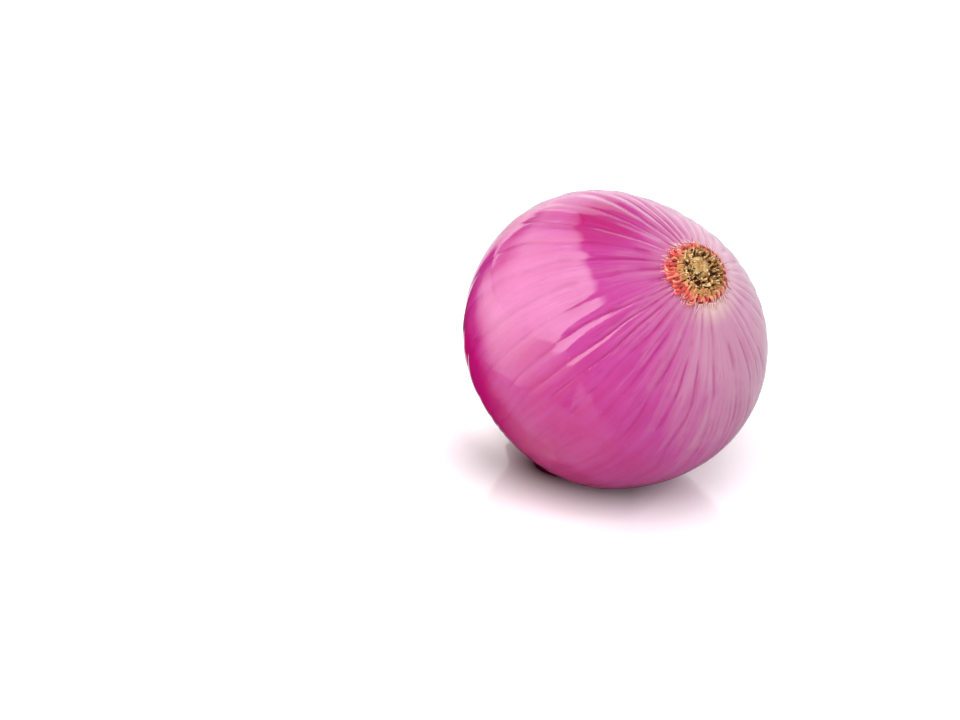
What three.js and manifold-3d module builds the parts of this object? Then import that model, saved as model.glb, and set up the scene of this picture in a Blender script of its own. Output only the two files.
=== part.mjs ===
// A peeled shallot, in millimetres, +Z up, standing on a small flat spot at z = 0.
// Its axis leans: the root end points up and towards +X, the neck down and towards -X.
// The origin is on the floor, under the middle of the bulb's box.
// Round shapes are given by their radius r and their place s along the bulb's axis, measured
// from the bulb's middle towards the root end, and by the angle psi round that axis, which is
// 0 on the underside of the root end.

import * as THREE from 'three';
import { mergeVertices } from 'three/addons/utils/BufferGeometryUtils.js';
import Module from 'manifold-3d';

const wasm = await Module();
wasm.setup();

const { degToRad, lerp, smoothstep } = THREE.MathUtils;
const { abs, atan2, cos, exp, floor, sin, sqrt, PI } = Math;
const GOLDEN = (sqrt(5) - 1) / 2;

// How the bulb lies
const AXIS_RISE = degToRad(50.2);       // slope of the axis above the floor
const MIDDLE = [-0.67, -0.425, 20.75];  // the bulb's middle above the origin

// Skin: radius and place along the axis, from the neck to the root seat
const PROFILE = [
  [2.9, -22.7], [3.4, -22.0], [4.7, -21.3], [6.9, -20.35], [10.6, -18.0], [14.3, -14.2],
  [17.0, -9.7], [18.9, -4.9], [19.9, 0.0], [19.9, 5.3], [18.4, 10.8], [15.3, 15.5],
  [11.1, 19.1], [7.6, 21.0], [4.45, 22.05],
];
const SKIN_ROWS = 30;
const OVAL = 0.078;                     // the bulb is a little oval, with a soft third side
const OVAL_AT = degToRad(14);
const LOBE = 0.023;
const LOBE_AT = degToRad(79);
const SQUEEZE = 0.13;                   // the root end is narrower from top to bottom
const BELLY = 0.5;                      // low swelling of the underside, where it rests
const BELLY_AT = degToRad(127);         // angle from the root end
const BELLY_LENGTH = degToRad(15);
const BELLY_WIDTH = degToRad(45);

// Ribs between the veins
const RIBS = 34;
const COLUMNS_PER_RIB = 3;
const RIB_HEIGHT = 0.14;                // at the bulb's widest
const RIB_HEIGHT_AT_ENDS = 0.24;        // near the root seat and the neck
const RIB_FADE = 4;                     // the ribs sink away over this much radius at the ends

// Root seat, plate and stubs
const SEAT_FLOOR = 21.2;
const PLATE_RADIUS = 4.1;
const PLATE_BASE = 21.5;
const PLATE_RIM = 22.15;
const PLATE_DOME = 1.15;
const MOUND_HEIGHT = 0.65;              // the fibrous middle of the plate
const MOUND_RADIUS = 1.35;
const MOUND_SHIFT = [-0.9, -0.5];       // the mound is off the middle
const STUBS = 78;
const STUB_RADIUS = 0.3;
const STUB_LENGTH = 1.25;
const STUB_SUNK = 0.6;
const STUBS_FROM = 1.45;                // radii between which the stubs stand
const STUBS_TO = 3.55;

// Coral fringe round the plate
const FRINGE_INNER = 4.62;
const FRINGE_OUTER = 5.05;
const FRINGE_LOW = 22.35;
const FRINGE_TOP = 22.95;
const FRINGE_FALL = 0.15;               // its outer edge is lower, as the skin slopes away
const TEETH = 42;
const TOOTH_RADIUS = 0.25;
const TOOTH_LENGTH = 0.85;
const LONG_TEETH_AT = degToRad(242);    // side with the longest teeth

// Neck stub
const NECK_TOP = -23.0;
const NECK_TIP = -24.7;
const NECK_PLEATS = 14;
const NECK_PLEAT_DEPTH = 0.07;          // share of the radius
const NECK_COLUMNS = 42;

const profile = new THREE.SplineCurve(PROFILE.map(([r, s]) => new THREE.Vector2(r, s)));
const fraction = (x) => x - floor(x);

// Point at radius r, angle psi and place s
const polar = (r, psi, s) => new THREE.Vector3(r * cos(psi), r * sin(psi), s);

// Share by which the root end's round shapes are narrower at psi
const squeeze = (psi) => 1 - SQUEEZE * cos(psi) ** 2;

// A geometry with one vertex per point and no empty triangles
function closed(geometry) {
  geometry.deleteAttribute('normal');
  geometry.deleteAttribute('uv');
  const merged = mergeVertices(geometry, 1e-4);
  const index = merged.index.array;
  const kept = [];
  for (let i = 0; i < index.length; i += 3) {
    const [a, b, c] = index.slice(i, i + 3);
    if (a !== b && b !== c && c !== a) kept.push(a, b, c);
  }
  merged.setIndex(kept);
  return merged;
}

// A turned outline with each point moved to place(column, row), which turns it to +Z up
function turned(outline, columns, place) {
  const points = outline.map(([r, s]) => new THREE.Vector2(r, s));
  const geometry = new THREE.LatheGeometry(points, columns);
  const position = geometry.attributes.position;
  for (let i = 0; i < position.count; i++) {
    const column = floor(i / points.length) % columns;
    const spot = place(column, i % points.length);
    position.setXYZ(i, spot.x, spot.y, spot.z);
  }
  return closed(geometry);
}

function toSolid(geometry) {
  const vertProperties = new Float32Array(geometry.attributes.position.array);
  const triVerts = new Uint32Array(geometry.index.array);
  return new wasm.Manifold(new wasm.Mesh({ numProp: 3, vertProperties, triVerts }));
}

function toGeometry(solid) {
  const { vertProperties, triVerts } = solid.getMesh();
  const geometry = new THREE.BufferGeometry();
  geometry.setAttribute('position', new THREE.BufferAttribute(vertProperties, 3));
  geometry.setIndex(new THREE.BufferAttribute(triVerts, 1));
  geometry.computeVertexNormals();
  return geometry;
}

// A five-sided stick from one point to another, sunk into what it grows from
function stick(from, to, rootRadius, tipRadius) {
  const along = new THREE.Vector3().subVectors(to, from);
  const geometry = new THREE.CylinderGeometry(tipRadius, rootRadius, along.length(), 5);
  const up = new THREE.Vector3(0, 1, 0);
  const turn = new THREE.Quaternion().setFromUnitVectors(up, along.clone().normalize());
  geometry.applyQuaternion(turn);
  geometry.translate(...from.clone().add(to).multiplyScalar(0.5));
  return closed(geometry);
}

// Angle of the furrow at the start of a rib: unevenly spaced, as veins grow
function furrowAngle(rib) {
  const even = (2 * PI * rib) / RIBS;
  return even + 0.05 * sin(3 * even + 1) + 0.03 * sin(7 * even + 2);
}

// Radius share at a place on the skin: oval in the body, squeezed at the root end
function spread(r, s, psi) {
  const body = smoothstep(r, 5, 14);
  const root = smoothstep(s, 0, 10) * (1 - body);
  const oval = OVAL * cos(2 * (psi - OVAL_AT)) + LOBE * cos(3 * (psi - LOBE_AT));
  return 1 + body * oval - root * (1 - squeeze(psi));
}

// Height of a rib above the even skin, across being 0 and 1 in the furrows at its sides
function ribHeight(r, s, rib, across) {
  const end = s > 0 ? PROFILE.at(-1)[0] : PROFILE[0][0];
  const height = lerp(RIB_HEIGHT, RIB_HEIGHT_AT_ENDS, smoothstep(abs(s), 6, 16));
  const share = 0.5 + 0.5 * fraction(rib * GOLDEN);
  const swell = (4 * across * (1 - across)) ** 0.6;
  return height * share * smoothstep(r, end, end + RIB_FADE) * (swell - 0.5);
}

// Height of the low swelling that the bulb rests on
function bellyHeight(r, s, psi) {
  const fromRoot = (atan2(r, s) - BELLY_AT) / BELLY_LENGTH;
  const round = (psi > PI ? psi - 2 * PI : psi) / BELLY_WIDTH;
  return BELLY * exp(-(fromRoot ** 2)) * exp(-(round ** 2));
}

// Point of the skin, along from the neck (0) to the root seat (1)
function skinPoint(along, rib, across) {
  const { x: r, y: s } = profile.getPoint(along);
  const tangent = profile.getTangent(along);
  const psi = lerp(furrowAngle(rib), furrowAngle(rib + 1), across);
  const raised = ribHeight(r, s, rib, across) + bellyHeight(r, s, psi);
  const radius = r * spread(r, s, psi) + raised * tangent.y;
  return polar(radius, psi, s - raised * tangent.x);
}

function makeBulb(lean) {
  const rows = [];
  for (let row = 0; row < SKIN_ROWS; row++) {
    const { x, y } = profile.getPoint(row / (SKIN_ROWS - 1));
    rows.push([x, y]);
  }
  const neckEnd = [0, PROFILE[0][1]];
  const seat = [[PROFILE.at(-1)[0], SEAT_FLOOR], [0, SEAT_FLOOR]];
  const outline = [neckEnd, ...rows, ...seat];
  const geometry = turned(outline, RIBS * COLUMNS_PER_RIB, (column, row) => {
    const rib = floor(column / COLUMNS_PER_RIB);
    const across = (column % COLUMNS_PER_RIB) / COLUMNS_PER_RIB;
    if (row > 0 && row <= SKIN_ROWS) return skinPoint((row - 1) / (SKIN_ROWS - 1), rib, across);
    const [r, s] = outline[row];
    const psi = lerp(furrowAngle(rib), furrowAngle(rib + 1), across);
    return polar(r * spread(r, s, psi), psi, s);
  });
  // The floor, brought into the bulb's own leaning frame, trims the flat spot
  const floorBlock = new THREE.BoxGeometry(60, 60, 10).translate(0, 0, -5);
  floorBlock.applyMatrix4(lean.matrix.clone().invert());
  return toGeometry(toSolid(geometry).subtract(toSolid(closed(floorBlock))));
}

// Height of the plate's top at radius r
function plateTop(r) {
  const dome = PLATE_DOME * (1 - (r / PLATE_RADIUS) ** 2);
  return PLATE_RIM + dome + MOUND_HEIGHT * exp(-((r / MOUND_RADIUS) ** 4));
}

// Point of the plate: its top leans towards the mound's place
function platePoint(r, psi, s) {
  const shift = smoothstep(s, PLATE_RIM, PLATE_RIM + PLATE_DOME + MOUND_HEIGHT);
  const point = polar(r * squeeze(psi), psi, s);
  return point.add(new THREE.Vector3(MOUND_SHIFT[0] * shift, MOUND_SHIFT[1] * shift, 0));
}

function makeRootPlate() {
  const columns = 24;
  const outline = [[0, PLATE_BASE], [PLATE_RADIUS, PLATE_BASE]];
  for (const share of [1, 0.92, 0.8, 0.66, 0.52, 0.4, 0.3, 0.18, 0]) {
    outline.push([share * PLATE_RADIUS, plateTop(share * PLATE_RADIUS)]);
  }
  const geometry = turned(outline, columns, (column, row) => {
    const [r, s] = outline[row];
    return platePoint(r, (2 * PI * column) / columns, s);
  });
  let plate = toSolid(geometry);
  for (let k = 0; k < STUBS; k++) {
    const share = sqrt((k + 0.5) / STUBS);
    const r = lerp(STUBS_FROM, STUBS_TO, (share - 0.07) / 0.93);
    const psi = 2 * PI * GOLDEN * k;
    const splay = 0.15 + 0.5 * (r / STUBS_TO) ** 3;
    const length = STUB_LENGTH * (0.8 + 0.4 * fraction(k * GOLDEN + 0.3)) - 0.25 * splay;
    const sunk = platePoint(r, psi, plateTop(r) - STUB_SUNK);
    const reach = length * sin(splay) * squeeze(psi);
    const tip = sunk.clone().add(polar(reach, psi + 0.5 * sin(5 * k), length * cos(splay)));
    const radius = STUB_RADIUS * (0.9 + 0.3 * fraction(k * 0.37));
    plate = plate.add(toSolid(stick(sunk, tip, radius, radius * 0.85)));
  }
  return toGeometry(plate);
}

function makeRootFringe() {
  const columns = 40;
  const outline = [
    [FRINGE_INNER, FRINGE_LOW], [FRINGE_OUTER, FRINGE_LOW - FRINGE_FALL],
    [FRINGE_OUTER, FRINGE_TOP - FRINGE_FALL], [FRINGE_INNER, FRINGE_TOP],
    [FRINGE_INNER, FRINGE_LOW],
  ];
  const geometry = turned(outline, columns, (column, row) => {
    const psi = (2 * PI * column) / columns;
    return polar(outline[row][0] * squeeze(psi), psi, outline[row][1]);
  });
  let fringe = toSolid(geometry);
  for (let k = 0; k < TEETH; k++) {
    const psi = (2 * PI * (k + 0.35 * sin(2.4 * k))) / TEETH;
    const nearLong = exp(-(((((psi - LONG_TEETH_AT + 3 * PI) % (2 * PI)) - PI) / 0.7) ** 2));
    const length = TOOTH_LENGTH * (0.7 + 0.35 * fraction(k * GOLDEN) + 0.25 * nearLong);
    const start = (FRINGE_INNER + TOOTH_RADIUS) * squeeze(psi);
    const high = (FRINGE_LOW + FRINGE_TOP) / 2;
    const root = polar(start, psi, high);
    const tip = polar(start + length, psi + 0.06 * sin(3 * k), high - 0.3 * length);
    fringe = fringe.add(toSolid(stick(root, tip, TOOTH_RADIUS, TOOTH_RADIUS * 0.4)));
  }
  return toGeometry(fringe);
}

function makeNeck() {
  // The cut end shows one ring of dry leaf inside its ragged rim
  const outline = [
    [0, NECK_TIP + 0.5], [0.8, NECK_TIP + 0.5], [1.1, NECK_TIP + 0.15], [1.4, NECK_TIP + 0.45],
    [1.9, NECK_TIP + 0.4], [2.3, NECK_TIP], [2.55, NECK_TIP + 0.35], [2.75, NECK_TIP + 1.1],
    [2.9, NECK_TOP], [0, NECK_TOP],
  ];
  return turned(outline, NECK_COLUMNS, (column, row) => {
    const [r, s] = outline[row];
    const psi = (2 * PI * column) / NECK_COLUMNS;
    const outer = smoothstep(r, 1.5, 2.3);
    const pleat = 1 - NECK_PLEAT_DEPTH * outer * (0.5 - 0.5 * cos(NECK_PLEATS * psi));
    const ragged = 0.12 * outer * smoothstep(s, NECK_TOP, NECK_TIP) * sin(5 * psi + 1);
    return polar(r * pleat, psi, s + abs(ragged));
  });
}

// A skin, root or dry-leaf material
function finish(color, roughness) {
  return new THREE.MeshStandardMaterial({ color, roughness, metalness: 0 });
}

function named(name, geometry, material) {
  const mesh = new THREE.Mesh(geometry, material);
  mesh.name = name;
  return mesh;
}

const lean = new THREE.Group();
lean.rotation.y = PI / 2 - AXIS_RISE;
lean.position.set(...MIDDLE);
lean.updateMatrix();
lean.add(named('bulb', makeBulb(lean), finish(0xcf62a4, 0.3)));
lean.add(named('root_plate', makeRootPlate(), finish(0xa97d3f, 0.9)));
lean.add(named('root_fringe', makeRootFringe(), finish(0xdc6352, 0.6)));
lean.add(named('neck', makeNeck(), finish(0xc79a6b, 0.8)));

const shallot = new THREE.Group();
shallot.add(lean);

export default shallot;
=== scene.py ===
"""The looks of a peeled shallot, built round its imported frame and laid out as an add-on.

Round shapes are worked out in millimetres in the bulb's own frame: a radius r, a place s along
the bulb's axis from its middle towards the root end, and an angle psi round that axis, 0 on
the underside of the root end. to_row() turns such points to the row frame, in metres.
"""
import math

import bpy
import numpy as np
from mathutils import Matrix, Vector


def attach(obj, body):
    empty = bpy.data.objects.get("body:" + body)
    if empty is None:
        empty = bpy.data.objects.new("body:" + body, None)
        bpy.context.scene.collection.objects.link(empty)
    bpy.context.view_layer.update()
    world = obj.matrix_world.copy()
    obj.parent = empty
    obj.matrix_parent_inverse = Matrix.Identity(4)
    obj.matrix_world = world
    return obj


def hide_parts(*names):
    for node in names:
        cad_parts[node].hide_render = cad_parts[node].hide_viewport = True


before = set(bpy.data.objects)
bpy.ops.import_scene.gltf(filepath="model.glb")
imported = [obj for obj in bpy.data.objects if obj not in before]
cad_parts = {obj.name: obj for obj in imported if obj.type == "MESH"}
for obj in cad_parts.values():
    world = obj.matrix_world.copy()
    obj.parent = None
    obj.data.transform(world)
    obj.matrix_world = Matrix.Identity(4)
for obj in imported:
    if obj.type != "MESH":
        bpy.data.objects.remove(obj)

bl_info = {
    "name": "Peeled Shallot",
    "version": (1, 0, 0),
    "blender": (4, 5, 0),
    "location": "View3D > Sidebar > Shallot",
    "description": "Builds a peeled shallot with its root plate, coral fringe and dry neck",
    "category": "Add Mesh",
}

MM = 0.001
BODY = "root"
GOLDEN = (math.sqrt(5) - 1) / 2

# How the bulb lies, as in the frame
AXIS_RISE = math.radians(50.2)
MIDDLE = np.array([-0.67, -0.425, 20.75])

# The even skin: radius and place along the axis, from the neck to the root seat
PROFILE = np.array([
    (2.9, -22.7), (3.4, -22.0), (4.7, -21.3), (6.9, -20.35), (10.6, -18.0), (14.3, -14.2),
    (17.0, -9.7), (18.9, -4.9), (19.9, 0.0), (19.9, 5.3), (18.4, 10.8), (15.3, 15.5),
    (11.1, 19.1), (7.6, 21.0), (4.45, 22.05),
])

# How far from round the body is, as shares of the radius, and how much narrower the root end
OVAL = 0.078
OVAL_AT = math.radians(14)
LOBE = 0.023
LOBE_AT = math.radians(79)
SQUEEZE = 0.13
# The low swelling that it rests on
BELLY = 0.5
BELLY_AT = math.radians(127)
BELLY_LENGTH = math.radians(15)
BELLY_WIDTH = math.radians(45)
# Ribs, the width over which they fade out at the ends, and the side where folds are deepest
RIBS = 34
RIB_FADE = 4.0
FOLDS_AT = math.radians(165)

# Root seat and plate
SEAT_FLOOR = 21.2
PLATE_RADIUS = 4.1
PLATE_BASE = 21.5
PLATE_RIM = 22.15
PLATE_DOME = 1.15
MOUND_HEIGHT = 0.65
MOUND_RADIUS = 1.35
MOUND_SHIFT = (-0.9, -0.5)

# Fringe: it is widest, and curls up, on one side
FRINGE_WIDEST = math.radians(242)
CURLS_FROM = math.radians(195)
CURLS_TO = math.radians(305)

# Neck: each layer's radius, and how much shorter than the outer one it is
NECK_TOP = -22.75
NECK_TIP = -24.7
NECK_PLEATS = 14
NECK_LAYERS = ((2.75, 0.0), (1.9, 0.25), (1.1, 0.4))

# Fineness of the skin's mesh, and the number of fibres on the root plate's mound
SKIN_ROWS = 200
COLUMNS_PER_RIB = 14
MOUND_FIBRES = 320

# Lengthwise patterns are laid out round a tube, with lengths shrunk to stretch the pattern
PATTERN_RADIUS = 20
PATTERN_SHRINK = 0.1
VEIN_REACH = 0.42

# Stage, in mm unless said otherwise
SHADE_LENGTH = 19
SHADE_WIDTH = 11
FLOOR_RADIUS = 2500
SOFT_BOX_AWAY = 400
CAMERA_AWAY = 373.33
CAMERA_LEFT = 18.09
CAMERA_DOWN = 2.1
SENSOR_WIDTH = 36
# Colour of the painted dark reflection on the left
DARK_REFLECTION_COLOUR = "#7A1038"

# The camera's view from above: to its right, and away from it
VIEW_RIGHT = np.array([0.79, 0.613, 0])
VIEW_DEPTH = np.array([-0.613, 0.79, 0])

# Lights: name, direction, distance and size in metres, radiance, and which surfaces see it
LIGHTS = (
    ("overhead", (0.15, -0.4, 0.85), 0.9, (0.8, 0.8), 2.75, "diffuse"),
    ("left_fill", (-0.69, -0.69, 0.18), 0.8, (0.6, 0.25), 3.8, "diffuse"),
    ("back_wall", (-0.439, 0.831, 0.342), 1.0, (3.4, 0.9), 1.6, "glossy"),
)


def linear(code):
    """The linear colour of an sRGB hex value."""
    parts = [int(code[start:start + 2], 16) / 255 for start in (1, 3, 5)]
    return tuple(part / 12.92 if part <= 0.04045 else ((part + 0.055) / 1.055) ** 2.4
                 for part in parts)


def sideways(psi):
    """A direction round the axis at psi, tipped a little so that no tube runs along it."""
    return (-math.sin(psi), math.cos(psi), 0.001)


def smoothstep(x, low, high):
    """A soft step from 0 at low to 1 at high."""
    share = np.clip((x - low) / (high - low), 0, 1)
    return share * share * (3 - 2 * share)


def fraction(x):
    """The part of x after the point."""
    return x - np.floor(x)


def polar(r, psi, s):
    """Points at radius r, angle psi and place s, in the bulb's frame."""
    r, psi, s = np.broadcast_arrays(r, psi, s)
    return np.stack([r * np.cos(psi), r * np.sin(psi), s], axis=-1)


def to_row(points):
    """Points of the bulb's frame, in mm, as points of the row frame, in metres."""
    x, y, s = np.moveaxis(np.asarray(points, float), -1, 0)
    rise_cos, rise_sin = math.cos(AXIS_RISE), math.sin(AXIS_RISE)
    turned = np.stack([x * rise_sin + s * rise_cos, y, s * rise_sin - x * rise_cos], axis=-1)
    return (turned + MIDDLE) * MM


def profile_at(along):
    """Radius, place and unit tangent of the even skin, along from the neck (0) to the root (1)."""
    last = len(PROFILE) - 1
    place = np.clip(along, 0, 1) * last
    i = np.minimum(place.astype(int), last - 1)
    share = (place - i)[..., None]
    before, here = PROFILE[np.maximum(i - 1, 0)], PROFILE[i]
    after, beyond = PROFILE[i + 1], PROFILE[np.minimum(i + 2, last)]
    # A smooth cubic curve through the points
    slope_here, slope_after = (after - before) / 2, (beyond - here) / 2
    cubic = 2 * here - 2 * after + slope_here + slope_after
    square = 3 * after - 3 * here - 2 * slope_here - slope_after
    point = ((cubic * share + square) * share + slope_here) * share + here
    tangent = (3 * cubic * share + 2 * square) * share + slope_here
    tangent /= np.linalg.norm(tangent, axis=-1, keepdims=True)
    return point[..., 0], point[..., 1], tangent


def squeeze(psi):
    """Share by which the root end's round shapes are narrower at psi."""
    return 1 - SQUEEZE * np.cos(psi) ** 2


def spread(r, s, psi):
    """Share of the radius at a place on the skin: oval in the body, squeezed at the root."""
    body = smoothstep(r, 5, 14)
    root = smoothstep(s, 0, 10) * (1 - body)
    oval = OVAL * np.cos(2 * (psi - OVAL_AT)) + LOBE * np.cos(3 * (psi - LOBE_AT))
    return 1 + body * oval - root * (1 - squeeze(psi))


def furrow_angle(rib):
    """Angle of a furrow, for whole rib numbers; the furrows are unevenly spaced."""
    even = 2 * np.pi * rib / RIBS
    return even + 0.05 * np.sin(3 * even + 1) + 0.03 * np.sin(7 * even + 2)


def rib_angle(place):
    """Angle at a place counted in ribs, which may lie between two furrows."""
    rib = np.floor(place)
    across = place - rib
    return furrow_angle(rib) * (1 - across) + furrow_angle(rib + 1) * across


def belly_height(r, s, psi):
    """Height of the low swelling that the bulb rests on."""
    from_root = (np.arctan2(r, s) - BELLY_AT) / BELLY_LENGTH
    around = ((psi + np.pi) % (2 * np.pi) - np.pi) / BELLY_WIDTH
    return BELLY * np.exp(-from_root ** 2) * np.exp(-around ** 2)


def uneven(turn, along, columns, rows, seed):
    """Smooth uneven values from -1 to 1: columns of them in a turn, rows of them along."""
    grid = np.random.default_rng(seed).uniform(-1, 1, (columns, rows + 1))
    x, y = turn * columns, np.clip(along, 0, 1) * (rows - 1)
    i, j = np.floor(x).astype(int), np.floor(y).astype(int)
    across, onward = smoothstep(x - i, 0, 1), smoothstep(y - j, 0, 1)
    left, right = i % columns, (i + 1) % columns
    near = grid[left, j] * (1 - across) + grid[right, j] * across
    far = grid[left, j + 1] * (1 - across) + grid[right, j + 1] * across
    return near * (1 - onward) + far * onward


def swayed(place, along):
    """A place counted in ribs, moved a little sideways as the real veins wander."""
    turn = place / RIBS
    broad = uneven(turn, along, RIBS // 2, 6, 3)
    fine = uneven(turn, along, RIBS, 14, 4)
    return place + 0.3 * broad + 0.1 * fine


def rib_height(r, s, place, along, sizes):
    """Height of the ribs and of the fine folds on them, above the even skin."""
    end = np.where(s > 0, PROFILE[-1, 0], PROFILE[0, 0])
    wandering = swayed(place, along)
    rib = np.floor(wandering)
    across = wandering - rib
    share = 0.5 + 0.5 * fraction((rib % RIBS) * GOLDEN)
    big, small = sizes.rib_height_at_ends / MM, sizes.rib_height / MM
    upper = 0.5 + 0.5 * np.cos(rib_angle(place) - FOLDS_AT)
    # Uneven ribs, higher on the upper side and towards the ends
    near_end = smoothstep(np.abs(s) + 8 * upper, 9, 19) * (0.1 + 0.6 * upper)
    ribs = (small + (big - small) * near_end) * (0.55 + 0.7 * upper) * share
    ribs = ribs * (np.sin(np.pi * across) - 0.6)
    # Folds a third of a rib wide, fibres half as wide as those, and broad waves
    turn = wandering / RIBS
    folded = smoothstep(np.abs(s) + 8 * upper, 8, 17) * (0.12 + 0.88 * upper ** 2)
    folds = uneven(turn, along, 3 * RIBS, 9, 5) * (0.12 + 0.88 * folded)
    fibres = uneven(turn, along, 6 * RIBS, 7, 6) * (0.04 + 0.2 * folded)
    waves = uneven(turn, along, 15, 5, 7) * sizes.wave_height / MM
    height = ribs + (folds + fibres) * sizes.fold_depth / MM + waves
    return height * smoothstep(r, end, end + RIB_FADE)


def skin_points(along, place, sizes):
    """Points of the skin at places along it and round it, the latter counted in ribs."""
    r, s, tangent = profile_at(along)
    psi = rib_angle(place)
    raised = rib_height(r, s, place, along, sizes) + belly_height(r, s, psi)
    radius = r * spread(r, s, psi) + raised * tangent[..., 1]
    return polar(radius, psi, s - raised * tangent[..., 0])


def skin_place(r):
    """Place along the axis of the even skin at a radius near the root end."""
    along = np.linspace(0.75, 1, 80)
    radius, s, _ = profile_at(along)
    return np.interp(r, radius[::-1], s[::-1])


def plate_top(r):
    """Height of the root plate's top at radius r."""
    dome = PLATE_DOME * (1 - (r / PLATE_RADIUS) ** 2)
    return PLATE_RIM + dome + MOUND_HEIGHT * np.exp(-(r / MOUND_RADIUS) ** 4)


def plate_points(r, psi, s):
    """Points of the root plate, whose top leans towards the mound's place."""
    shift = smoothstep(s, PLATE_RIM, PLATE_RIM + PLATE_DOME + MOUND_HEIGHT)
    return polar(r * squeeze(psi), psi, s) + shift[..., None] * np.array([*MOUND_SHIFT, 0])


class Shape:
    """Vertices, faces and vertex values gathered into one mesh."""

    def __init__(self):
        self.points, self.faces, self.values = [], [], {}
        self.count = 0

    def add(self, points, faces, **values):
        """Adds points of the bulb's frame, their faces and a value or values for each."""
        points = np.asarray(points, float).reshape(-1, 3)
        self.points.append(points)
        self.faces.extend([[i + self.count for i in face] for face in faces])
        for name, value in values.items():
            shape = (len(points),) + np.shape(value)[1:]
            self.values.setdefault(name, []).append(np.broadcast_to(value, shape))
        self.count += len(points)

    def grid(self, points, **values):
        """Adds rows of points that run right round, closed at both ends by a middle point."""
        rows, columns = points.shape[:2]
        ends = [points[0].mean(0), points[-1].mean(0)]
        here = np.arange(columns)
        after = (here + 1) % columns
        faces = []
        for row in range(rows - 1):
            low, high = row * columns, (row + 1) * columns
            quads = np.stack([low + here, low + after, high + after, high + here], axis=-1)
            faces.extend(quads.tolist())
        first, last = rows * columns, rows * columns + 1
        top = (rows - 1) * columns
        faces.extend([[first, j, i] for i, j in zip(here.tolist(), after.tolist())])
        faces.extend([[last, top + i, top + j] for i, j in zip(here.tolist(), after.tolist())])
        values = {k: self.with_ends(v, rows, columns) for k, v in values.items()}
        self.add(np.vstack([points.reshape(-1, 3), ends]), faces, **values)

    @staticmethod
    def with_ends(value, rows, columns):
        """A value for each point of a grid and for the two points that close it."""
        if np.ndim(value) == 0:
            return np.full(rows * columns + 2, value, float)
        value = np.asarray(value, float)
        value = np.broadcast_to(value, (rows, columns) + value.shape[2:])
        flat = value.reshape((rows * columns,) + value.shape[2:])
        return np.concatenate([flat, value[:1, 0], value[-1:, 0]])

    def tube(self, centres, radii, sides, side_on, flat=1.0, **values):
        """Adds a closed tube along centres; side_on is a direction that none of it runs in."""
        centres = np.asarray(centres, float)
        tangent = np.gradient(centres, axis=0)
        tangent /= np.linalg.norm(tangent, axis=1, keepdims=True)
        wide = np.asarray(side_on, float) - (tangent @ side_on)[:, None] * tangent
        wide /= np.linalg.norm(wide, axis=1, keepdims=True)
        thick = np.cross(tangent, wide)
        turn = 2 * np.pi * np.arange(sides) / sides
        ring = np.cos(turn)[None, :, None] * wide[:, None]
        ring = ring + flat * np.sin(turn)[None, :, None] * thick[:, None]
        reach = np.linspace(0, 1, len(centres))[:, None]
        points = centres[:, None] + np.asarray(radii, float)[:, None, None] * ring
        self.grid(points, reach=np.broadcast_to(reach, points.shape[:2]), **values)

    def build(self, name, material, smooth=True):
        """Makes the object, in metres in the row frame, with its values as attributes."""
        mesh = bpy.data.meshes.new(name)
        points = to_row(np.vstack(self.points))
        points[:, 2] = np.maximum(points[:, 2], 0)
        mesh.from_pydata(points.tolist(), [], self.faces)
        for key, parts in self.values.items():
            data = np.concatenate(parts)
            kind = "FLOAT_VECTOR" if data.ndim == 2 else "FLOAT"
            attribute = mesh.attributes.new(key, kind, "POINT")
            attribute.data.foreach_set("vector" if data.ndim == 2 else "value", data.ravel())
        mesh.polygons.foreach_set("use_smooth", [smooth] * len(mesh.polygons))
        mesh.materials.append(material)
        mesh.update()
        piece = bpy.data.objects.new(name, mesh)
        bpy.context.scene.collection.objects.link(piece)
        return piece


def settle(piece, slot, *nodes):
    """Puts a piece on the body and hides the frame nodes that it stands for; the slot is not used.
    """
    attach(piece, BODY)
    if nodes:
        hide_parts(*nodes)


def add_node(tree, kind, inputs=None, out=0, **settings):
    """Adds a shader node with its settings and links, and returns one of its outputs."""
    node = tree.nodes.new("ShaderNode" + kind)
    for name, value in settings.items():
        setattr(node, name, value)
    for key, value in (inputs or {}).items():
        if isinstance(value, bpy.types.NodeSocket):
            tree.links.new(value, node.inputs[key])
        else:
            node.inputs[key].default_value = value
    return node.outputs[out] if len(node.outputs) else None


def new_material(name):
    """An empty node material and its tree."""
    material = bpy.data.materials.new(name)
    material.use_nodes = True
    material.node_tree.nodes.clear()
    return material, material.node_tree


def finished(material, shader):
    """The material, with its shader linked to its output."""
    add_node(material.node_tree, "OutputMaterial", {0: shader})
    return material


def rgba(colour):
    """A colour with full alpha."""
    return (*colour, 1.0)


def three_tones(tree, level, start, step, colours):
    """Three colours that pass into each other as the level rises from start by two steps."""
    # A colour Mix takes its share at input 0 and its colours at 6 and 7, and gives output 2
    low, middle, high = (rgba(colour) for colour in colours)
    turn = start + step
    first = add_node(tree, "MapRange", {"Value": level, "From Min": start, "From Max": turn})
    second = add_node(tree, "MapRange", {"Value": level, "From Min": turn, "From Max": turn + step})
    lower = add_node(tree, "Mix", {0: first, 6: low, 7: middle}, out=2, data_type="RGBA")
    return add_node(tree, "Mix", {0: second, 6: lower, 7: high}, out=2, data_type="RGBA")


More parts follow.
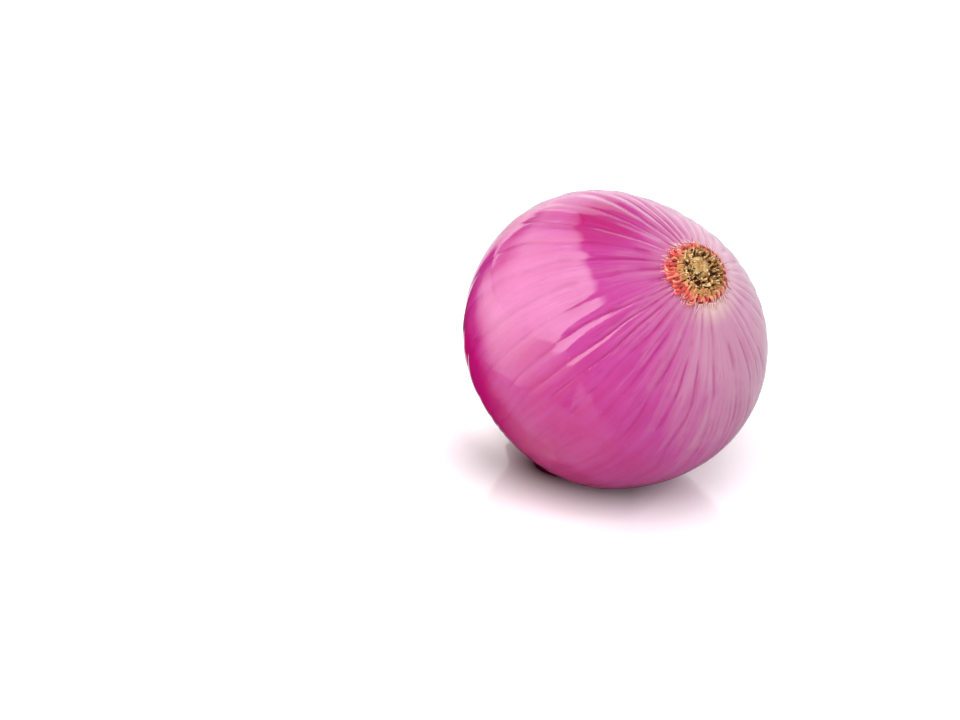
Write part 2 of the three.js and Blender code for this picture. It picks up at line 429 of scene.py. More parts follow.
def main_veins(tree, fray):
    """Frayed lines at whole rib numbers; rib_width turns ribs to millimetres."""
    rib_width = add_node(tree, "Attribute", out="Fac", attribute_name="rib_width")
    uv = add_node(tree, "UVMap", uv_map="veins")
    rib = add_node(tree, "SeparateXYZ", {0: uv}, out="X")
    shifted = add_node(tree, "Math", {0: rib, 1: 0.5}, operation="ADD")
    part = add_node(tree, "Math", {0: shifted}, operation="FRACT")
    off = add_node(tree, "Math", {0: part, 1: 0.5}, operation="SUBTRACT")
    gap = add_node(tree, "Math", {0: off}, operation="ABSOLUTE")
    frayed = add_node(tree, "Math", {0: fray, 1: 0.5, 2: -0.25}, operation="MULTIPLY_ADD")
    away = add_node(tree, "Math", {0: gap, 1: rib_width, 2: frayed}, operation="MULTIPLY_ADD")
    return add_node(tree, "MapRange",
                    {"Value": away, "From Min": 0.0, "From Max": VEIN_REACH, "To Min": 1.0,
                     "To Max": 0.0}, interpolation_type="SMOOTHSTEP")


def fine_veins(tree, around):
    """Threads between the main veins, which part and meet again."""
    net = add_node(tree, "TexNoise",
                   {"Vector": around, "Scale": 1 / 2.2, "Detail": 4.0, "Roughness": 0.65})
    centred = add_node(tree, "Math", {0: net, 1: 0.5}, operation="SUBTRACT")
    level = add_node(tree, "Math", {0: centred}, operation="ABSOLUTE")
    return add_node(tree, "MapRange",
                    {"Value": level, "From Min": 0.0, "From Max": 0.03, "To Min": 0.5,
                     "To Max": 0.0})


def moist_onion_skin(look):
    """Fresh onion skin, peeled of its dry leaf and moist: a thin clear cuticle over flesh.

    To the eye it is deep magenta with sharp soft-box reflections, fine lengthwise fibres and
    darker veins, and it is paler where the pigment thins out near the root.
    """
    material, tree = new_material("moist onion skin")
    around = add_node(tree, "Attribute", out="Vector", attribute_name="around")
    # The tone holds the pigment's depth and the painted shade on the left side
    tone = add_node(tree, "Attribute", out="Fac", attribute_name="tone")
    halo = add_node(tree, "Attribute", out="Fac", attribute_name="halo")
    veined = add_node(tree, "Attribute", out="Fac", attribute_name="veined")
    place = add_node(tree, "TexCoord", out="Object")

    # Clouds of pigment about 7 mm across, and lengthwise bands about 1.5 mm across
    cloud = add_node(tree, "TexNoise", {"Vector": place, "Scale": 1 / (7 * MM), "Detail": 3.0})
    band = add_node(tree, "TexNoise",
                    {"Vector": around, "Scale": 1 / 1.5, "Detail": 3.0, "Roughness": 0.6})
    clouded = add_node(tree, "Math", {0: cloud, 1: 0.5, 2: tone}, operation="MULTIPLY_ADD")
    depth = add_node(tree, "Math", {0: band, 1: 0.9, 2: clouded}, operation="MULTIPLY_ADD")
    flesh = three_tones(tree, depth, 0.65, 0.7, (look.pale, look.magenta, look.deep))
    base = add_node(tree, "Mix", {0: halo, 6: flesh, 7: rgba(look.halo)},
                    out=2, data_type="RGBA")

    # Main veins frayed by about 0.25 mm and broken off in places, with fine ones between them
    fray = add_node(tree, "TexNoise",
                    {"Vector": around, "Scale": 1 / 0.5, "Detail": 3.0, "Roughness": 0.7})
    patch = add_node(tree, "TexNoise", {"Vector": place, "Scale": 1 / (5 * MM), "Detail": 2.0})
    shown = add_node(tree, "MapRange", {"Value": patch, "From Min": 0.35, "From Max": 0.55})
    kept = add_node(tree, "Math", {0: shown, 1: veined}, operation="MULTIPLY")
    vein = add_node(tree, "Math", {0: main_veins(tree, fray), 1: kept}, operation="MULTIPLY")
    main = add_node(tree, "Math", {0: vein, 1: 0.85}, operation="MULTIPLY")
    lined = add_node(tree, "Mix", {0: main, 6: base, 7: rgba(look.vein)},
                     out=2, data_type="RGBA")
    threads = add_node(tree, "Math", {0: fine_veins(tree, around), 1: kept}, operation="MULTIPLY")
    threaded = add_node(tree, "Mix", {0: threads, 6: lined, 7: rgba(look.vein)},
                        out=2, data_type="RGBA")

    # Pale flecks of about 0.3 mm where the cuticle is scuffed
    speck = add_node(tree, "TexNoise", {"Vector": place, "Scale": 1 / (0.4 * MM), "Detail": 1.0})
    fleck = add_node(tree, "MapRange",
                     {"Value": speck, "From Min": 0.74, "From Max": 0.82, "To Max": 0.3})
    colour = add_node(tree, "Mix", {0: fleck, 6: threaded, 7: rgba(look.pale)},
                      out=2, data_type="RGBA")
    # Each vein lies in a groove about 0.02 mm deep
    rough = add_node(tree, "Math", {0: fray, 1: 0.2}, operation="MULTIPLY")
    grooved = add_node(tree, "Math", {0: rough, 1: vein}, operation="SUBTRACT")
    bump = add_node(tree, "Bump", {"Height": grooved, "Strength": 1.0, "Distance": 0.022 * MM})
    shader = add_node(tree, "BsdfPrincipled",
                      {"Base Color": colour, "Roughness": 0.06, "IOR": 1.42, "Normal": bump,
                       "Subsurface Weight": 0.12, "Subsurface Radius": (1.0, 0.25, 0.5),
                       "Subsurface Scale": 1.2 * MM})
    return finished(material, shader)


def dry_root_cork(name, dark, mid, light):
    """Dried root tissue, cut through: matt and corky, tan on top, and near black in its gaps as
    painted shade.
    """
    material, tree = new_material(name)
    place = add_node(tree, "TexCoord", out="Object")
    tone = add_node(tree, "Attribute", out="Fac", attribute_name="tone")
    # Grains about 0.15 mm across and 0.3 mm apart
    grain = add_node(tree, "TexNoise", {"Vector": place, "Scale": 1 / (0.3 * MM), "Detail": 4.0})
    level = add_node(tree, "Math", {0: grain, 1: 0.5, 2: tone}, operation="MULTIPLY_ADD")
    colour = three_tones(tree, level, 0.2, 0.5, (dark, mid, light))
    bump = add_node(tree, "Bump", {"Height": grain, "Strength": 0.5, "Distance": 0.08 * MM})
    shader = add_node(tree, "BsdfPrincipled",
                      {"Base Color": colour, "Roughness": 0.7, "Normal": bump,
                       "Specular IOR Level": 0.2})
    return finished(material, shader)


def half_dry_skin_edge(look):
    """The torn edge of half-dry onion skin: thin, wrinkled, coral red, waxy where it curls."""
    material, tree = new_material("half-dry skin edge")
    place = add_node(tree, "TexCoord", out="Object")
    tone = add_node(tree, "Attribute", out="Fac", attribute_name="tone")
    reach = add_node(tree, "Attribute", out="Fac", attribute_name="reach")
    # Wrinkles about 0.25 mm across and 0.5 mm apart
    grain = add_node(tree, "TexNoise", {"Vector": place, "Scale": 1 / (0.5 * MM), "Detail": 3.0})
    level = add_node(tree, "Math", {0: grain, 1: 0.5, 2: tone}, operation="MULTIPLY_ADD")
    body = three_tones(tree, level, 0.2, 0.5, (look.deep_red, look.coral, look.peach))
    tip = add_node(tree, "MapRange",
                   {"Value": reach, "From Min": 0.7, "From Max": 1.0, "To Max": 0.55})
    colour = add_node(tree, "Mix", {0: tip, 6: body, 7: rgba(look.tip)},
                      out=2, data_type="RGBA")
    shader = add_node(tree, "BsdfPrincipled",
                      {"Base Color": colour, "Roughness": 0.38, "Subsurface Weight": 0.2,
                       "Subsurface Radius": (1.0, 0.3, 0.2), "Subsurface Scale": 0.5 * MM})
    return finished(material, shader)


def dry_papery_leaf(look):
    """Dry onion leaf at the trimmed neck: papery, matt, straw brown with lengthwise fibres."""
    material, tree = new_material("dry papery leaf")
    around = add_node(tree, "Attribute", out="Vector", attribute_name="around")
    reach = add_node(tree, "Attribute", out="Fac", attribute_name="reach")
    # Fibres about 0.25 mm apart
    fibre = add_node(tree, "TexNoise", {"Vector": around, "Scale": 1 / 0.25, "Detail": 4.0})
    streak = add_node(tree, "MapRange", {"Value": fibre, "From Min": 0.35, "From Max": 0.65})
    straw = add_node(tree, "Mix", {0: streak, 6: rgba(look.brown), 7: rgba(look.straw)},
                     out=2, data_type="RGBA")
    colour = add_node(tree, "Mix", {0: reach, 6: rgba(look.blush), 7: straw},
                      out=2, data_type="RGBA")
    bump = add_node(tree, "Bump", {"Height": fibre, "Strength": 0.4, "Distance": 0.1 * MM})
    shader = add_node(tree, "BsdfPrincipled",
                      {"Base Color": colour, "Roughness": 0.6, "Normal": bump})
    return finished(material, shader)


def white_acrylic(look):
    """A sheet of polished white acrylic, lit to pure white, with a soft reflection in it.

    It has a painted shade in its colour close under the bulb. The bulb sees it greyer and with a
    wider painted shade, so that its underside stays dark.
    """
    material, tree = new_material("polished white acrylic")
    seen = add_node(tree, "LightPath", out="Is Camera Ray")
    place = add_node(tree, "TexCoord", out="Object")
    # The painted shade is an oval, its long side across the view, and lies a little to the left
    oval = add_node(tree, "Mapping",
                    {"Vector": place, "Location": (4 * MM, -1 * MM, 0),
                     "Rotation": (0, 0, -look.round)})
    scaled = add_node(tree, "VectorMath",
                      {0: oval, 1: (1 / (SHADE_LENGTH * MM), 1 / (SHADE_WIDTH * MM), 0)},
                      operation="MULTIPLY")
    length = add_node(tree, "VectorMath", {0: scaled}, out="Value", operation="LENGTH")
    across = add_node(tree, "SeparateXYZ", {0: scaled}, out="X")
    # It ends sooner on the right, where the white room is open
    right = add_node(tree, "MapRange",
                     {"Value": across, "From Min": 0.35, "From Max": 0.9, "To Max": 0.75})
    away = add_node(tree, "Math", {0: length, 1: right}, operation="ADD")
    # It ends at 3 times the oval's size for the bulb, and at 1.35 times for the camera
    far = add_node(tree, "MapRange", {"Value": seen, "To Min": 3.0, "To Max": 1.35})
    outward = add_node(tree, "MapRange", {"Value": away, "From Min": 0.37, "From Max": far})
    lit = add_node(tree, "Math", {0: outward, 1: 0.62}, operation="POWER")
    colour = add_node(tree, "Mix",
                      {0: seen, 6: rgba(look.floor_bounce), 7: rgba((look.floor_seen,) * 3)},
                      out=2, data_type="RGBA")
    shaded = add_node(tree, "Mix", {0: lit, 6: rgba(look.floor_shade), 7: colour},
                      out=2, data_type="RGBA")
    shader = add_node(tree, "BsdfPrincipled",
                      {"Base Color": shaded, "Roughness": 0.1, "IOR": 1.49,
                       "Specular IOR Level": 0.8})
    return finished(material, shader)


def painted_dark_reflection(colour):
    """A dark sheet for a painted dark reflection, which thins out to nothing at its edges."""
    material, tree = new_material("painted dark reflection sheet")
    cover = add_node(tree, "Attribute", out="Fac", attribute_name="cover")
    cloth = add_node(tree, "BsdfDiffuse", {"Color": rgba(colour)})
    clear = add_node(tree, "BsdfTransparent")
    return finished(material, add_node(tree, "MixShader", {0: cover, 1: clear, 2: cloth}))


def glowing_white(name):
    """A white surface lit or lit through, whose brightness the glow of its mesh gives."""
    material, tree = new_material(name)
    strength = add_node(tree, "Attribute", out="Fac", attribute_name="glow")
    return finished(material, add_node(tree, "Emission", {"Strength": strength}))


def colour_property(name, description, code):
    """A colour that the user can change."""
    return bpy.props.FloatVectorProperty(
        name=name, description=description, default=linear(code), subtype="COLOR", min=0, max=1)


def length_property(name, description, millimetres):
    """A length that the user can change, in metres, with its default given in mm."""
    return bpy.props.FloatProperty(
        name=name, description=description, default=millimetres * MM, unit="LENGTH",
        precision=5)


def angle_property(name, description, degrees):
    """An angle that the user can change, with its default given in degrees."""
    return bpy.props.FloatProperty(
        name=name, description=description, default=math.radians(degrees), subtype="ANGLE",
        unit="ROTATION")


def brightness_property(name, description, brightness):
    """A brightness that the user can change."""
    return bpy.props.FloatProperty(
        name=name, description=description, default=brightness, min=0, subtype="FACTOR")


def count_property(name, description, count, least, most):
    """A number of like pieces that the user can change."""
    return bpy.props.IntProperty(
        name=name, description=description, default=count, min=least, max=most,
        subtype="UNSIGNED")


class SkinLook(bpy.types.PropertyGroup):
    """Sizes and colours of the skin."""

    rib_height: length_property("Rib height", "Height of the ribs at the bulb's widest", 0.055)
    rib_height_at_ends: length_property(
        "Rib height at ends", "Height of the ribs near the root and the neck", 0.22)
    fold_depth: length_property("Fold depth", "Depth of the fine folds near the ends", 0.06)
    wave_height: length_property("Wave height", "Height of the broad, shallow waves", 0.024)
    magenta: colour_property("Magenta", "Well coloured skin", "#C34296")
    # The deep colour also gives the painted shade on the left side
    deep: colour_property("Deep", "Skin where the pigment is thickest", "#B8126E")
    pale: colour_property("Pale", "Skin where the pigment is thin", "#D494B4")
    vein: colour_property("Vein", "Veins and fibres", "#AE1876")
    halo: colour_property("Halo", "Skin below the root plate", "#F2D5CB")


class RootLook(bpy.types.PropertyGroup):
    """Sizes and colours of the root plate and its cut roots."""

    stubs: count_property("Cut roots", "Number of cut root stubs", 430, 0, 900)
    rim_roots: count_property(
        "Rim roots", "Number of flat roots lying out over the rim", 130, 0, 300)
    stub_radius: length_property("Root radius", "Radius of a cut root", 0.135)
    # The gap colour is painted shade between the cut roots
    dark: colour_property("Gap", "Gaps between the cut roots", "#3E1404")
    tan: colour_property("Tan", "Sides of the cut roots", "#CC904E")
    straw: colour_property("Straw", "Cut ends of the roots", "#FADFA8")
    mound: colour_property("Mound", "The fibrous middle of the plate", "#CFAC70")
    rim: colour_property("Rim", "Roots that lie out over the rim", "#EFA67C")


class FringeLook(bpy.types.PropertyGroup):
    """Sizes and colours of the coral fringe."""

    tongues: count_property("Tongues", "Number of torn tongues of skin", 64, 8, 300)
    curls: count_property("Curls", "Number of curled strips on one side", 22, 0, 60)
    hairs: count_property("Hairs", "Number of fine hairs on the skin", 130, 0, 500)
    coral: colour_property("Coral", "Outside of the torn skin", "#EA4C46")
    deep_red: colour_property("Deep red", "Folds of the torn skin", "#A00C1A")
    peach: colour_property("Peach", "Outside of the palest tongues", "#F6AE86")
    tip: colour_property("Tip", "Tips of the tongues and hairs", "#F7CBCB")


class NeckLook(bpy.types.PropertyGroup):
    """Colours of the dry neck."""

    straw: colour_property("Straw", "Dry leaf", "#D2A878")
    brown: colour_property("Brown", "Fibres of the dry leaf", "#8A5A38")
    blush: colour_property("Blush", "Leaf near the bulb", "#B8547C")


class StageLook(bpy.types.PropertyGroup):
    """The floor, the lights and the camera."""

    floor_bounce: colour_property("Floor", "The floor, as it lights the bulb", "#D4D4D4")
    # Colour of the painted shade on the floor under the bulb
    floor_shade: colour_property("Shade", "The floor close under the bulb", "#34060F")
    floor_seen: brightness_property(
        "Floor as seen", "How brightly the floor is lit for the camera", 1.32)
    world: brightness_property("Surroundings", "Brightness of the white surroundings", 0.65)
    lens: length_property("Lens", "Focal length of the camera", 100.0)
    rise: angle_property("Rise", "Camera's height as an angle", 32.9)
    round: angle_property("Round", "Camera's place round the bulb", 37.8)


class SHALLOT_OT_skin(bpy.types.Operator):
    """Make the ribbed skin of the bulb"""

    bl_idname = "shallot.skin"
    bl_label = "Skin"

    def execute(self, context):
        look = context.scene.shallot_skin
        along = np.linspace(0, 1, SKIN_ROWS)[:, None]
        place = np.linspace(0, RIBS, RIBS * COLUMNS_PER_RIB, endpoint=False)[None]
        along, place = np.broadcast_arrays(along, place)
        points = skin_points(along, place, look)
        psi = rib_angle(place)
        r, s, _ = profile_at(along)
        # Millimetres along the skin from the neck
        steps = np.hypot(np.gradient(r[:, 0]), np.gradient(s[:, 0]))
        arc = np.cumsum(steps)[:, None] + 0 * psi
        around = polar(PATTERN_RADIUS, psi, arc * PATTERN_SHRINK)
        values = {"around": around, "rib_width": 2 * np.pi * r / RIBS, **self.pigment(r, s, psi)}
        seat = PROFILE[-1, 0] * spread(PROFILE[-1, 0], PROFILE[-1, 1], psi[:1])
        floor = polar(seat, psi[:1], SEAT_FLOOR)
        shape = Shape()
        shape.grid(np.concatenate([points, floor]),
                   **{key: np.concatenate([value, value[-1:]]) for key, value in values.items()})
        piece = shape.build("skin", moist_onion_skin(look))
        ribs = swayed(place, along)
        self.add_vein_map(piece, np.concatenate([ribs, ribs[-1:]]), arc)
        settle(piece, "skin", "bulb")
        return {"FINISHED"}

    @staticmethod
    def pigment(r, s, psi):
        """How deep the pigment is, with painted shade on the left, and how strong the halo and the
        veins are, over the skin.
        """
        # Degrees from the root end, and how far a place faces each of two sides, from 0 to 1
        from_root = np.degrees(np.arctan2(r, s))
        left = 0.5 + 0.5 * np.cos(psi - math.radians(225))
        shaded = 0.5 + 0.5 * np.cos(psi - math.radians(266))
        # Deeper on the left, partly pigment and partly painted shade; deepest, as painted shade,
        # where that side is in shade; and deeper lower down
        tone = 0.1 + 0.65 * smoothstep(left, 0.1, 0.75)
        tone = tone + 0.8 * smoothstep(from_root, 100, 124) * smoothstep(shaded, 0.6, 0.95)
        lower = 0.7 * smoothstep(from_root, 50, 80) + 0.2 * smoothstep(from_root, 85, 120)
        tone = tone + lower * (1 - 0.8 * left)
        # A deeper patch above the root plate, and paler skin all round the plate
        from_patch = np.hypot((from_root - 36) / 11, (np.degrees(psi) - 196) / 24)
        tone = tone + 0.6 * (1 - smoothstep(from_patch, 0.5, 1.3))
        tone = tone - 0.6 * (1 - smoothstep(from_root, 15, 60)) * (1 - 0.5 * left)
        # The pale halo shows most below the plate
        under = np.exp(-(((psi - math.radians(350) + np.pi) % (2 * np.pi) - np.pi) / 0.6) ** 2)
        halo = (1 - smoothstep(from_root, 13, 23)) * (0.12 + 0.8 * under)
        # Veins are strongest near the root and on the left, and fade beside the plate's right
        veined = 0.6 + 0.4 * (1 - smoothstep(from_root, 45, 85))
        veined = veined * (0.45 + 0.55 * left)
        veined = veined * (1 - 0.8 * (1 - smoothstep(from_root, 14, 26)) * (1 - left))
        return {"tone": tone, "halo": halo, "veined": veined}

    @staticmethod
    def add_vein_map(piece, ribs, arc):
        """A map whose first number counts ribs round the bulb and whose second is mm along it."""
        rows, columns = ribs.shape
        mesh = piece.data
        corners = np.empty(len(mesh.loops), int)
        mesh.loops.foreach_get("vertex_index", corners)
        inner = corners < rows * columns
        column = np.where(inner, corners % columns, 0)
        row = np.where(inner, corners // columns, 0)
        sizes = np.empty(len(mesh.polygons), int)
        mesh.polygons.foreach_get("loop_total", sizes)
        face = np.repeat(np.arange(len(sizes)), sizes)
        # A face over the seam has corners in the first and in the last column
        widest = np.zeros(len(sizes), int)
        np.maximum.at(widest, face, column)
        past_seam = (column == 0) & (widest[face] == columns - 1)
        along = arc[np.minimum(row, len(arc) - 1), 0]
        uv = np.stack([ribs[row, column] + RIBS * past_seam, along], axis=-1)
        layer = mesh.uv_layers.new(name="veins")
        layer.data.foreach_set("uv", uv.ravel())


class SHALLOT_OT_root_plate(bpy.types.Operator):
    """Make the domed root plate with its fibrous mound"""

    bl_idname = "shallot.root_plate"
    bl_label = "Root plate"

    def execute(self, context):
        look = context.scene.shallot_root
        columns = 220
        psi = np.linspace(0, 2 * np.pi, columns, endpoint=False)[None]
        share = np.linspace(1, 0.01, 70)[:, None]
        r = share * PLATE_RADIUS
        rough = 0.05 * np.sin(23 * psi + 9 * r) * np.sin(31 * psi - 7 * r + 1)
        rays = 0.04 * np.sin(60 * psi + 3 * np.sin(5 * psi)) * np.exp(-(r / 1.6) ** 4)
        top = plate_points(r, psi, plate_top(r) + (rough + rays) * smoothstep(r, 0, 0.5))
        base = polar(PLATE_RADIUS * squeeze(psi), psi, PLATE_BASE)
        # Near black outside the mound: painted shade in the gaps between the cut roots
        tone = np.exp(-(r / 1.5) ** 6) * (0.8 + 0.2 * np.sin(60 * psi)) + 0 * psi - 0.15
        tone = np.concatenate([0 * psi, tone])
        shape = Shape()
        shape.grid(np.concatenate([base, top]), tone=tone)
        cork = dry_root_cork("dry root cork", look.dark, look.tan, look.mound)
        piece = shape.build("root_disc", cork)
        settle(piece, "root", "root_plate")
        return {"FINISHED"}


class SHALLOT_OT_cut_roots(bpy.types.Operator):
    """Make the cut root stubs, the flat roots over the rim and the fibres of the mound"""

    bl_idname = "shallot.cut_roots"
    bl_label = "Cut roots"

    def execute(self, context):
        look = context.scene.shallot_root
        draw = np.random.default_rng(7)
        stubs = Shape()
        for k in range(look.stubs):
            share = math.sqrt((k + 0.5) / look.stubs)
            self.add_stub(stubs, draw, 1.15 + 2.35 * share, 2 * math.pi * GOLDEN * k,
                          look.stub_radius / MM)
        cork = dry_root_cork("cut dry roots", look.dark, look.tan, look.straw)
        settle(stubs.build("cut_roots", cork, smooth=False), "root", "root_plate")

        rim = Shape()
        for k in range(look.rim_roots):
            self.add_rim_root(rim, draw, 2 * math.pi * k / look.rim_roots)
        cork = dry_root_cork("flat dry roots", look.dark, look.tan, look.rim)
        settle(rim.build("rim_roots", cork), "root", "root_plate")

        fibres = Shape()
        for k in range(MOUND_FIBRES):
            self.add_fibre(fibres, draw, 2 * math.pi * GOLDEN * k, math.sqrt(k / MOUND_FIBRES))
        cork = dry_root_cork("mound fibres", look.tan, look.mound, look.straw)
        settle(fibres.build("mound_fibres", cork), "root", "root_plate")
        return {"FINISHED"}

    @staticmethod
    def add_stub(shape, draw, r, psi, radius):
        """A root cut short, leaning its own way."""
        psi = psi + draw.normal(0, 0.1)
        r = r + draw.normal(0, 0.08)
        edge = (r / 3.8) ** 2
        lean = abs(draw.normal(0.35, 0.45)) + 0.45 * edge
        heading = psi + draw.normal(0, 1.6) * (1 - 0.8 * edge)
        length = draw.uniform(0.35, 0.85) * (1 - 0.3 * smoothstep(r, 2.4, 3.4)) + 0.25
        run = np.array([math.cos(heading) * math.sin(lean), math.sin(heading) * math.sin(lean),
                        math.cos(lean)])
        start = plate_points(np.array(r), np.array(psi), plate_top(np.array(r)) - 0.25)
        steps = np.linspace(0, 1, 4)[:, None]
        centres = start + steps * length * run + steps ** 2 * draw.normal(0, 0.12, 3)
        radii = radius * draw.uniform(0.65, 1.4) * np.array([0.9, 1.0, 1.0, 0.9])
        shape.tube(centres, radii, 7, (0.3, -0.5, 0.8), flat=draw.uniform(0.6, 1.0),
                   tone=draw.choice([0.0, 0.25, 0.55, 0.95]))

    @staticmethod
    def add_rim_root(shape, draw, psi):
        """A flat root that lies out over the rim, its end just over the fringe."""
        psi = psi + draw.normal(0, 0.03)
        steps = np.linspace(0, 1, 6)
        r = draw.uniform(3.1, 3.5) + steps * draw.uniform(0.9, 1.6)
        s = plate_top(np.minimum(r, PLATE_RADIUS)) + 0.32 - 0.5 * np.maximum(r - 3.8, 0)
        s = s + draw.uniform(-0.06, 0.2)
        centres = polar(r * squeeze(psi), psi + draw.normal(0, 0.05) * steps, s)
        radii = draw.uniform(0.09, 0.16) * np.array([0.8, 1.0, 1.0, 1.0, 0.9, 0.6])
        shape.tube(centres, radii, 7, sideways(psi), flat=0.6, tone=draw.uniform(0.3, 1.0))

    @staticmethod
    def add_fibre(shape, draw, psi, share):
        """A thin fibre that runs down the mound; share is 0 at its middle and 1 at its foot."""
        steps = np.linspace(0, 1, 5)
        r = 0.15 + 1.15 * share + steps * draw.uniform(0.4, 0.9)
        turn = psi + draw.normal(0, 0.12) * steps
        lift = draw.uniform(0.0, 0.07) * np.sin(np.pi * steps)
        centres = plate_points(r, turn, plate_top(r) + 0.03 + lift)
        shape.tube(centres, draw.uniform(0.03, 0.055) * np.array([0.6, 1.0, 1.0, 0.9, 0.6]), 5,
                   sideways(psi), tone=draw.uniform(0.0, 1.0))


class SHALLOT_OT_fringe(bpy.types.Operator):
    """Make the torn coral skin round the root plate, its curls and fine hairs"""

    bl_idname = "shallot.fringe"
    bl_label = "Fringe"

    def execute(self, context):
        look = context.scene.shallot_fringe
        edge = half_dry_skin_edge(look)
        draw = np.random.default_rng(11)
        torn = Shape()
        self.add_band(torn)
        for k in range(look.tongues):
            self.add_tongue(torn, draw, 2 * math.pi * k / look.tongues)
        settle(torn.build("torn_skin_fringe", edge), "fringe", "root_fringe")

        curls = Shape()
        for k in range(look.curls):
            share = (k + 0.5) / look.curls
            self.add_curl(curls, draw, CURLS_FROM + share * (CURLS_TO - CURLS_FROM), k)
        settle(curls.build("curled_skin", edge), "fringe", "root_fringe")

        hairs = Shape()
        for k in range(look.hairs):
            self.add_hair(hairs, draw, 2 * math.pi * k / look.hairs)
        pale = dry_root_cork("fine dry hairs", look.peach, look.tip, look.tip)
        settle(hairs.build("skin_hairs", pale), "fringe")
        return {"FINISHED"}

    @staticmethod
    def add_band(shape):
        """The low dark red band of skin that the tongues grow from."""
        psi = np.linspace(0, 2 * np.pi, 160, endpoint=False)[None]
        turn = np.linspace(0, 2 * np.pi, 12, endpoint=False)[:, None]
        r = 4.55 + 0.45 * np.cos(turn) + 0.05 * np.sin(23 * psi)
        s = skin_place(np.array(4.9)) + 0.08 + 0.2 * np.sin(turn) - 0.25 * (r - 4.55)
        ring = polar(r * squeeze(psi), psi, s)
        rows, columns = ring.shape[:2]
        faces = []
        for i in range(rows):
            low, high = i * columns, (i + 1) % rows * columns
            for j in range(columns):
                after = (j + 1) % columns
                faces.append([low + j, high + j, high + after, low + after])
        shape.add(ring, faces, tone=np.full(rows * columns, -0.15),
                  reach=np.zeros(rows * columns))

    @staticmethod
    def add_tongue(shape, draw, psi):
        """A torn tongue of skin that arches out from under the rim."""
        psi = psi + draw.normal(0, 0.025)
        aside = (psi - FRINGE_WIDEST + math.pi) % (2 * math.pi) - math.pi
        wide = math.exp(-(aside / 0.8) ** 2)
        steps = np.linspace(0, 1, 7)
        r = 3.9 + steps * (draw.uniform(0.95, 1.35) + 0.45 * wide)
        lift = (0.3 + 0.25 * wide) * np.sin(np.pi * np.clip(steps * 0.85 + 0.15, 0, 1))
        s = skin_place(np.maximum(r, 4.5)) + 0.1 + lift * draw.uniform(0.6, 1.3)
        turn = psi + draw.normal(0, 0.05) * steps
        radii = draw.uniform(0.15, 0.27) * np.array([1.0, 1.15, 1.2, 1.2, 1.1, 0.9, 0.55])
        shape.tube(polar(r * squeeze(psi), turn, s), radii, 8, sideways(psi), flat=0.45,
                   tone=draw.choice([0.0, 0.4, 0.7, 0.95]) - 0.25 * wide)

    @staticmethod
    def add_curl(shape, draw, psi, number):
        """A strip of skin curled into a loop that stands on edge on the skin."""
        psi = psi + draw.normal(0, 0.04)
        r = draw.uniform(4.6, 5.5)
        size = draw.uniform(0.4, 0.75)
        turn = np.linspace(-0.5, 2 * math.pi - 1.3, 16)
        out = np.array([math.cos(psi), math.sin(psi), 0.0])
        up = np.array([0.0, 0.0, 1.0])
        tilt = draw.uniform(0.1, 0.8)
        over = math.cos(tilt) * np.cross(up, out) + math.sin(tilt) * up
        centre = polar(r * squeeze(psi), psi, skin_place(r) + 0.25 + 0.4 * size)
        centres = centre + size * (np.cos(turn)[:, None] * out + 0.8 * np.sin(turn)[:, None] * over)
        through = np.cross(out, over)
        centres = centres + through * np.linspace(-0.1, 0.1, 16)[:, None]
        radii = draw.uniform(0.16, 0.26) * (1 + 0.25 * np.sin(turn + number))
        shape.tube(centres, radii, 9, through, flat=0.4, tone=draw.choice([0.05, 0.3, 0.5, 0.75]))

    @staticmethod
    def add_hair(shape, draw, psi):
        """A fine hair that lies on the skin."""
        psi = psi + draw.normal(0, 0.02)
        steps = np.linspace(0, 1, 5)
        r = draw.uniform(4.7, 5.3) + steps * draw.uniform(0.4, 1.4)
        s = skin_place(r) + 0.16 * (1 - steps) + 0.07
        centres = polar(r * squeeze(psi), psi + draw.normal(0, 0.04) * steps, s)
        shape.tube(centres, draw.uniform(0.04, 0.09) * np.array([1.0, 1.0, 0.8, 0.6, 0.3]), 5,
                   sideways(psi), tone=draw.uniform(0.7, 1.1))


class SHALLOT_OT_neck(bpy.types.Operator):
    """Make the dry, pleated, trimmed neck"""

    bl_idname = "shallot.neck"
    bl_label = "Neck"

    def execute(self, context):
        look = context.scene.shallot_neck
        shape = Shape()
        columns = NECK_PLEATS * 12
        psi = np.linspace(0, 2 * np.pi, columns, endpoint=False)[None]
        for layer, (radius, shorter) in enumerate(NECK_LAYERS):
            steps = np.linspace(0, 1, 14)[:, None]
            outer = radius * (1 - 0.18 * steps ** 1.5)
            pleat = 1 - 0.09 * (0.5 - 0.5 * np.cos((NECK_PLEATS - 3 * layer) * psi + layer))
            ragged = 0.22 * np.abs(np.sin(5 * psi + layer) * np.sin(11 * psi + 2 * layer))
            s = NECK_TOP + steps * (NECK_TIP + shorter - NECK_TOP + ragged)
            wall = polar(outer * pleat, psi, s)
            inner = polar((outer - 0.16) * pleat, psi, s)[::-1]
            points = np.concatenate([wall, inner])
            reach = np.concatenate([steps, steps[::-1]]) + 0 * psi
            arc = np.concatenate([s, s[::-1]])
            shape.grid(points, reach=reach, around=polar(2.7, psi, arc * 0.15))
        piece = shape.build("dry_neck", dry_papery_leaf(look))
        settle(piece, "dry_neck", "neck")
        return {"FINISHED"}


